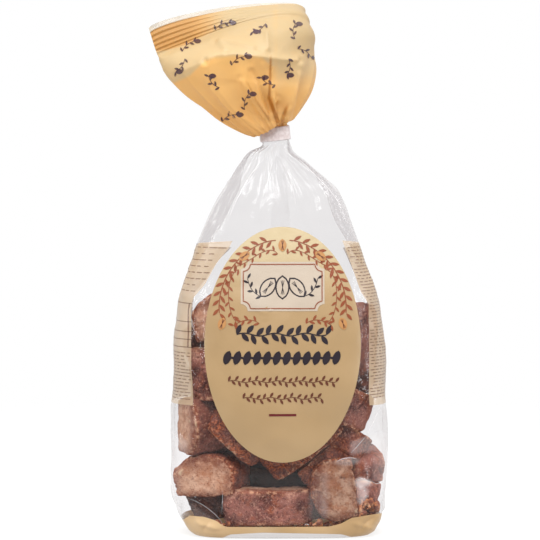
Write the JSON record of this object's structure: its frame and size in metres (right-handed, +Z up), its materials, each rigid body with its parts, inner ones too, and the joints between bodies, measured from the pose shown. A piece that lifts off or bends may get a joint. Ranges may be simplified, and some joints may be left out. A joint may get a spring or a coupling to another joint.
{
  "type": "bag of almond biscuits",
  "caption": "Clear gusseted film bag of baked almond biscuits, standing on its folded base, tied at the neck by a flat band under a fanned, printed top with a crimped seal.",
  "frame": {"origin": "centre of the folded base, on the surface that the bag stands on", "axes": "+Z up from the table to the seal, +X to the right of the labelled front, +Y towards the back"},
  "size_m": [0.124, 0.0645, 0.2758],
  "materials": {
    "clear_film": "thin clear packing film with soft folds and a high gloss",
    "band_film": "satin flat strap, pale lilac grey",
    "printed_film": "cream printed film, satin gloss",
    "biscuit": "dry baked crust with a lighter porous crumb on the cut faces"
  },
  "bodies": {
    "root": {"bag": "clear_film", "neck_band": "band_film"}
  },
  "joints": []
}
